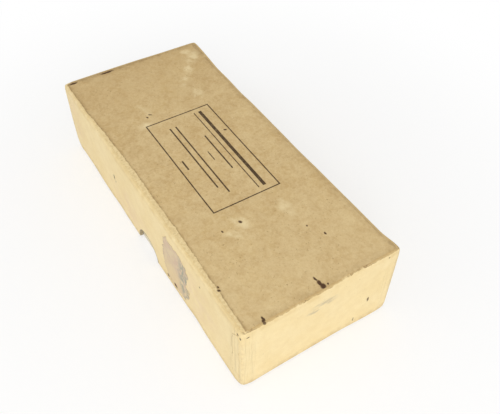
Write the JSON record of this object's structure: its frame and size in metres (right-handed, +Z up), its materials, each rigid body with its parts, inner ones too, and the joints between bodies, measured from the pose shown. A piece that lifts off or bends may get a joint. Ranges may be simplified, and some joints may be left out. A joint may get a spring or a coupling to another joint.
{
  "type": "lift-off lid carton of flying goggles",
  "caption": "Oblong covered pasteboard carton with a full-depth lift-off lid and half-round thumb notches, holding hinged two-window flying goggles with strap and spares.",
  "frame": {"origin": "middle of the closed carton's base, on the surface that it stands on", "axes": "+X along the carton towards its plain end, +Y across it away from the long side with the torn label, +Z up"},
  "size_m": [0.216, 0.0941, 0.051],
  "materials": {
    "tan_cover_paper": "matt",
    "cream_cover_paper": "matt",
    "white_cover_paper": "matt",
    "grey_label_paper": "matt",
    "kraft_stay_paper": "matt",
    "grey_board": "matt",
    "envelope_paper": "matt",
    "blue_grey_enamel": "satin",
    "blackened_brass": "satin",
    "nickel_plate": "bright",
    "clear_pane": "polished",
    "amber_pane": "polished",
    "brown_leather": "grained",
    "strap_webbing": "woven",
    "tin_plate": "satin",
    "pale_paste": "waxy",
    "cotton_cloth": "woven"
  },
  "bodies": {
    "lid": {"lid_board": "grey_board", "lid_corner_stays": "kraft_stay_paper", "lid_side_wrap": "cream_cover_paper", "lid_top_sheet": "tan_cover_paper", "label_remnant": "grey_label_paper"},
    "tray": {"tray_board": "grey_board", "tray_corner_stays": "kraft_stay_paper", "tray_wrap": "white_cover_paper", "tray_floor_lining": "white_cover_paper", "tray_divider": "grey_board", "left_eye_rim": "blackened_brass", "left_eye_cup": "blue_grey_enamel", "left_face_cushion": "brown_leather", "left_window_pane": "clear_pane", "left_pane_ring": "blackened_brass", "left_ring_screws": "nickel_plate", "bridge_pin": "nickel_plate", "head_strap": "strap_webbing", "strap_hook_left": "nickel_plate", "strap_hook_right": "nickel_plate", "paste_tin_base": "tin_plate", "paste_cake": "pale_paste", "polishing_cloth": "cotton_cloth", "spare_pane_envelope": "envelope_paper", "spare_pane_inner": "amber_pane", "spare_pane_outer": "amber_pane"},
    "right_eye": {"right_eye_rim": "blackened_brass", "right_eye_cup": "blue_grey_enamel", "right_face_cushion": "brown_leather", "right_window_pane": "clear_pane", "right_pane_ring": "blackened_brass", "right_ring_screws": "nickel_plate"},
    "left_bail": {"left_strap_bail": "nickel_plate"},
    "right_bail": {"right_strap_bail": "nickel_plate"},
    "tin_lid": {"paste_tin_lid": "tin_plate"},
    "slide": {"strap_slide": "nickel_plate"}
  },
  "joints": [
    {"name": "lid_lift", "type": "slide", "parent": "tray", "child": "lid", "axis": [0, 0, 1], "range_m": [0, 0.065]},
    {"name": "bridge_hinge", "type": "hinge", "parent": "tray", "child": "right_eye", "pos_m": [0.01956, 0.01352, 0.04018], "axis": [0, -1, 0], "range_deg": [0, 13]},
    {"name": "left_bail_swing", "type": "hinge", "parent": "tray", "child": "left_bail", "pos_m": [-0.05188, 0.01552, 0.02287], "axis": [0, 1, 0], "range_deg": [0, 75]},
    {"name": "right_bail_swing", "type": "hinge", "parent": "right_eye", "child": "right_bail", "pos_m": [0.091, 0.01552, 0.02287], "axis": [0, -1, 0], "range_deg": [0, 75]},
    {"name": "tin_lid_pull", "type": "slide", "parent": "tray", "child": "tin_lid", "axis": [0, 0, 1], "range_m": [0, 0.02]},
    {"name": "strap_slide_travel", "type": "slide", "parent": "tray", "child": "slide", "axis": [1, 0, 0], "range_m": [-0.035, 0.045]}
  ]
}
